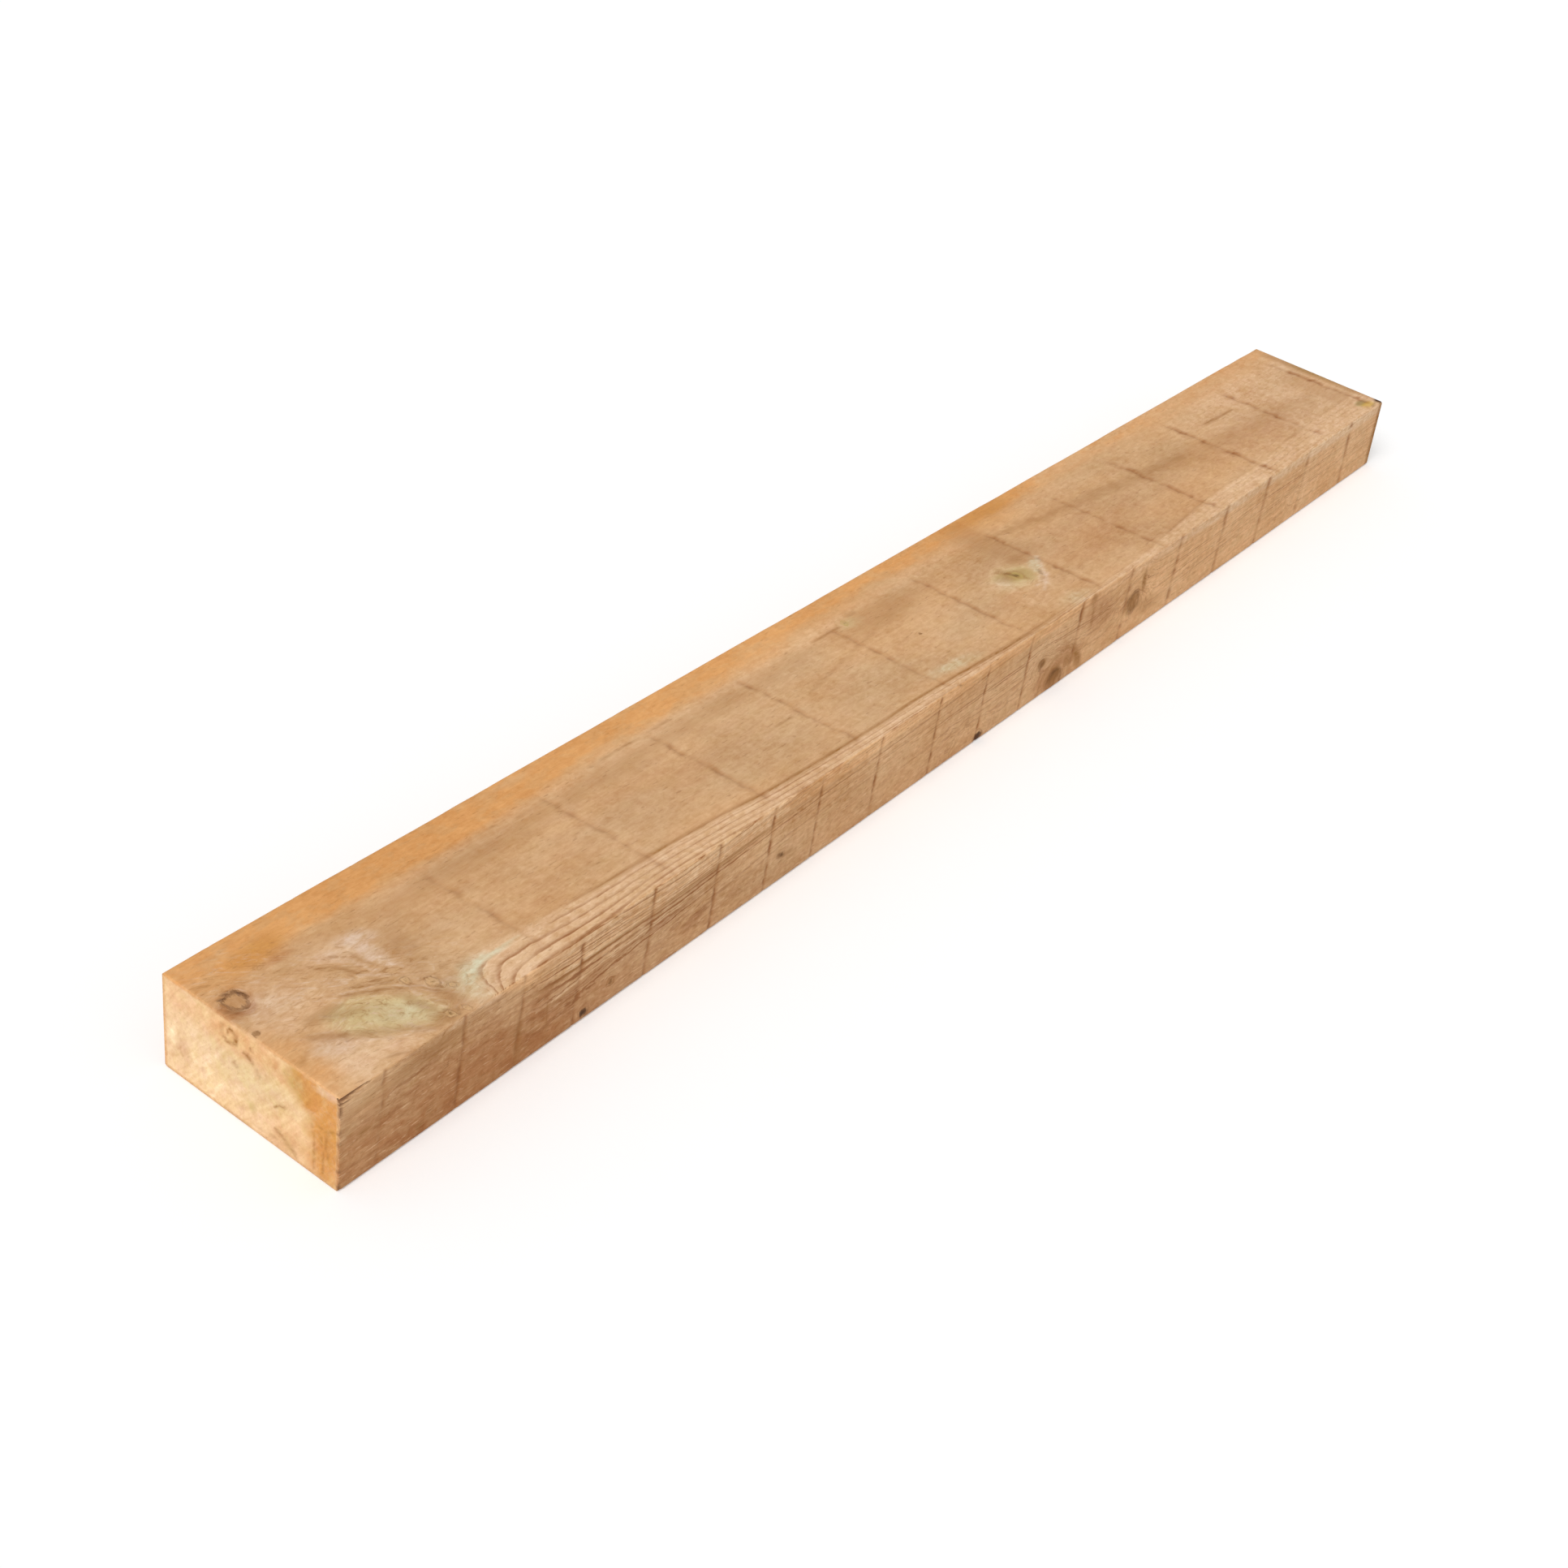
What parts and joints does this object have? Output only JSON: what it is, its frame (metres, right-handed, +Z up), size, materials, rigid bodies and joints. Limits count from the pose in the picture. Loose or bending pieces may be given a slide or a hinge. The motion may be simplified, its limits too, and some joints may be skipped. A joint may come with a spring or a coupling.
{
  "type": "railway sleeper",
  "caption": "Long rectangular baulk of sawn softwood with eased arrises, saw scores across its faces, square crosscut ends and one chipped corner.",
  "frame": {"origin": "middle of the underside", "axes": "+X along the length, from the end with the chipped corner to the other end; +Y across the width; +Z up, square to the wide faces"},
  "size_m": [2.4, 0.25, 0.125],
  "materials": {
    "sawn_pine": "dry, rough sawn, unplaned and uncoated, with knots and saw marks"
  },
  "bodies": {
    "root": {"sleeper": "sawn_pine"}
  },
  "joints": []
}
